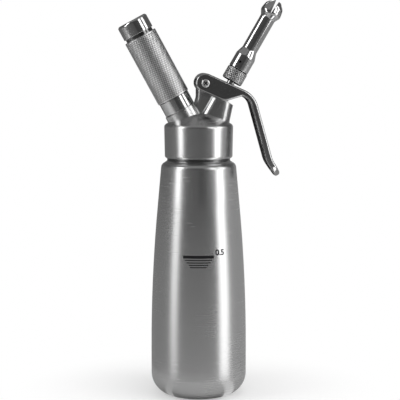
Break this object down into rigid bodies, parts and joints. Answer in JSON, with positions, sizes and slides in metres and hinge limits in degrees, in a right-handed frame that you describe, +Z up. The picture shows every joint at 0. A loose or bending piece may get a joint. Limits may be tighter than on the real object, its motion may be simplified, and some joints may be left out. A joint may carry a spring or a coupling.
{
  "type": "whipped cream dispenser",
  "caption": "Steel half-litre whipped cream dispenser: rounded bottle, screwed head with a squeeze lever, knurled charger holder and a tulip decorating nozzle.",
  "frame": {"origin": "middle of the flat ring that the bottle stands on", "axes": "+Z up along the bottle, +X towards the lever and the nozzle, -X towards the charger holder, -Y towards the front with the fill mark"},
  "size_m": [0.1321, 0.0776, 0.3217],
  "materials": {
    "bottle_steel": "fine horizontal satin brushing",
    "head_steel": "satin on the collar, smoother on the dome and bosses",
    "polished_steel": "polished stainless steel",
    "knurled_steel": "fine diamond knurl",
    "adapter_steel": "polished stainless steel with a diamond knurl",
    "nozzle_steel": "polished stainless steel",
    "lever_steel": "polished stainless sheet",
    "screw_steel": "polished",
    "stem_steel": "turned",
    "hard_steel": "plain",
    "charger_steel": "plain, slightly matt",
    "brass": "turned",
    "gasket_rubber": "matt silicone",
    "seal_rubber": "matt",
    "guide_plastic": "plain"
  },
  "bodies": {
    "bottle": {"bottle": "bottle_steel"},
    "gasket": {"head_gasket": "gasket_rubber"},
    "head": {"head_body": "head_steel", "pin_carrier": "brass", "piercing_pin": "hard_steel", "pin_seal": "seal_rubber", "non_return_valve": "seal_rubber", "valve_guide_bush": "guide_plastic", "pivot_barrel": "hard_steel", "pivot_screw": "screw_steel", "pivot_washers": "guide_plastic"},
    "lever": {"lever": "lever_steel"},
    "valve": {"valve_stem": "stem_steel", "valve_gasket": "seal_rubber", "stem_o_ring": "seal_rubber", "valve_spring": "hard_steel", "thrust_collar": "stem_steel", "adapter_seal": "seal_rubber"},
    "adapter": {"nozzle_adapter": "adapter_steel"},
    "nozzle": {"tulip_nozzle": "nozzle_steel"},
    "charger": {"gas_charger": "charger_steel"},
    "cushion": {"charger_cushion": "seal_rubber"},
    "holder": {"charger_holder": "polished_steel", "knurled_grip": "knurled_steel", "holder_end_cap": "polished_steel"}
  },
  "joints": [
    {"name": "head_lift", "type": "slide", "parent": "bottle", "child": "gasket", "axis": [0, 0, 1], "range_m": [0, 0.04]},
    {"name": "head_turn", "type": "hinge", "parent": "gasket", "child": "head", "pos_m": [0, 0, 0.2], "axis": [0, 0, 1], "range_deg": [0, 540]},
    {"name": "lever_squeeze", "type": "hinge", "parent": "head", "child": "lever", "pos_m": [0.0046, 0, 0.25465], "axis": [0, 1, 0], "range_deg": [0, 12], "stiffness_Nm_per_rad": 2, "springref_deg": -8.59},
    {"name": "valve_slide", "type": "slide", "parent": "head", "child": "valve", "axis": [-0.5, 0, -0.866], "range_m": [0, 0.004], "deforming": ["valve_spring"]},
    {"name": "adapter_turn", "type": "hinge", "parent": "valve", "child": "adapter", "pos_m": [0.029, 0, 0.26008], "axis": [0.5, 0, 0.866], "range_deg": [0, 720]},
    {"name": "nozzle_off", "type": "slide", "parent": "adapter", "child": "nozzle", "axis": [0.5, 0, 0.866], "range_m": [0, 0.03]},
    {"name": "charger_out", "type": "slide", "parent": "head", "child": "charger", "axis": [-0.4787, 0, 0.878], "range_m": [0, 0.03]},
    {"name": "holder_off", "type": "slide", "parent": "charger", "child": "cushion", "axis": [-0.4787, 0, 0.878], "range_m": [0, 0.085]},
    {"name": "holder_turn", "type": "hinge", "parent": "cushion", "child": "holder", "pos_m": [-0.02872, 0, 0.25833], "axis": [-0.4787, 0, 0.878], "range_deg": [0, 1080]}
  ],
  "couplings": [
    {"joint": "valve_slide", "follows": "lever_squeeze", "m_per_rad": 0.018579}
  ]
}
